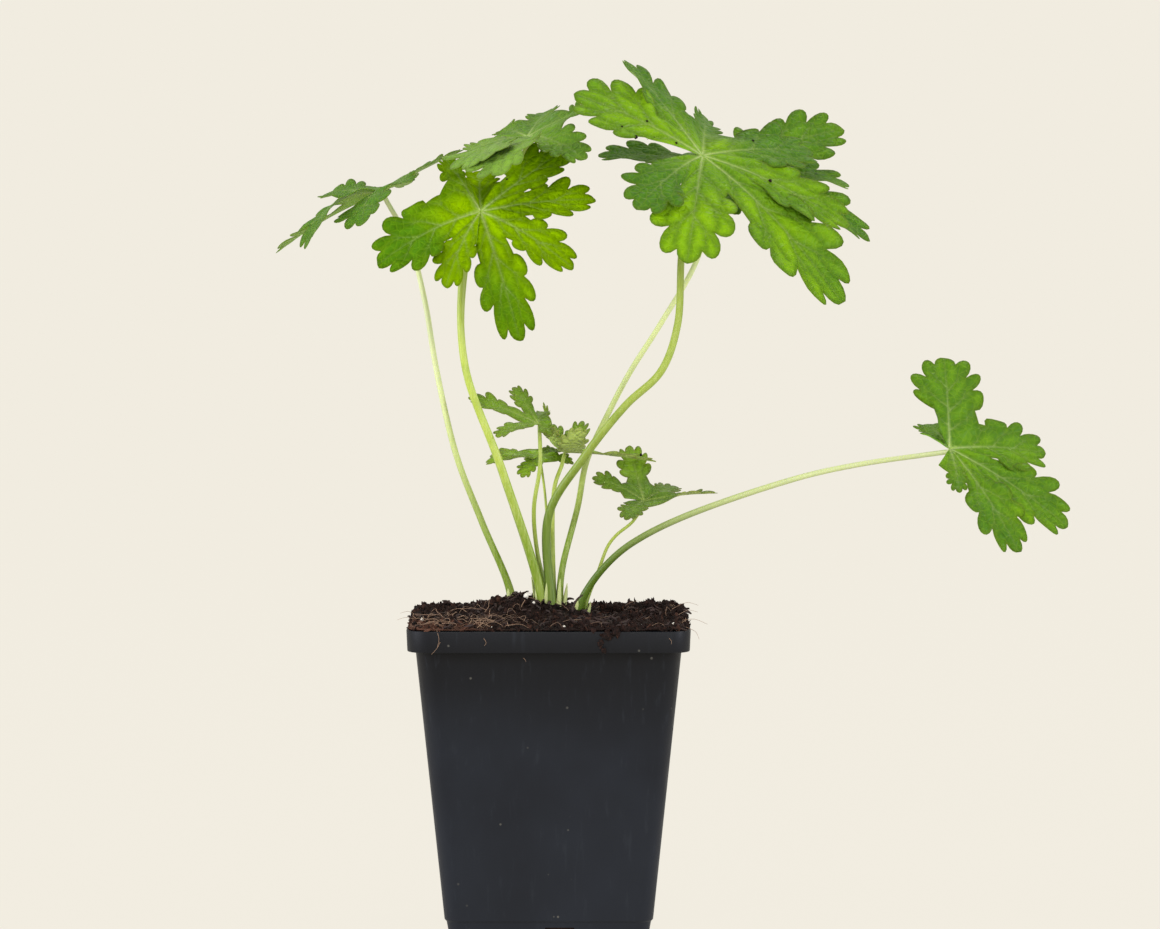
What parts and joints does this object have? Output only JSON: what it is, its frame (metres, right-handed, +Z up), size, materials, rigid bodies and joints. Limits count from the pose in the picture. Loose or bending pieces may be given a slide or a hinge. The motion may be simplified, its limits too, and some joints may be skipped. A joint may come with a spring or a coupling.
{
  "type": "potted plant",
  "caption": "Young hardy geranium with lobed, scalloped leaves on long stalks, growing in a square nursery pot full of soil.",
  "frame": {"origin": "middle of the underside of the pot's floor, on the surface that the pot stands on", "axes": "+Z up out of the pot, +Y to the back, so -Y is the front face of the pot, and +X to the right along that face"},
  "size_m": [0.2592, 0.0924, 0.2823],
  "materials": {
    "pot": "thin injection-moulded polypropylene, near black, faintly bluish, satin with fine scuffs",
    "soil": "damp crumbly peat compost, dark brown, dull",
    "rootstock": "corky brown rhizome and roots, dull",
    "stalk": "pale yellow-green, juicy, finely downy, soft sheen",
    "young_blade": "soft downy young leaf, grey-green, matt",
    "blade": "finely hairy leaf, fresh green, satin, slightly translucent"
  },
  "bodies": {
    "root": {"pot": "pot", "soil": "soil", "rootstock": "rootstock", "stalk_a": "stalk", "blade_a": "blade", "stalk_b": "stalk", "blade_b": "blade", "stalk_c": "stalk", "blade_c": "blade", "stalk_d": "stalk", "blade_d": "blade", "stalk_e": "stalk", "blade_e": "young_blade", "stalk_f": "stalk", "blade_f": "young_blade", "stalk_g": "stalk", "blade_g": "young_blade", "stalk_h": "stalk", "blade_h": "young_blade", "stalk_i": "stalk", "blade_i": "blade", "stalk_j": "stalk", "blade_j": "blade"}
  },
  "joints": []
}
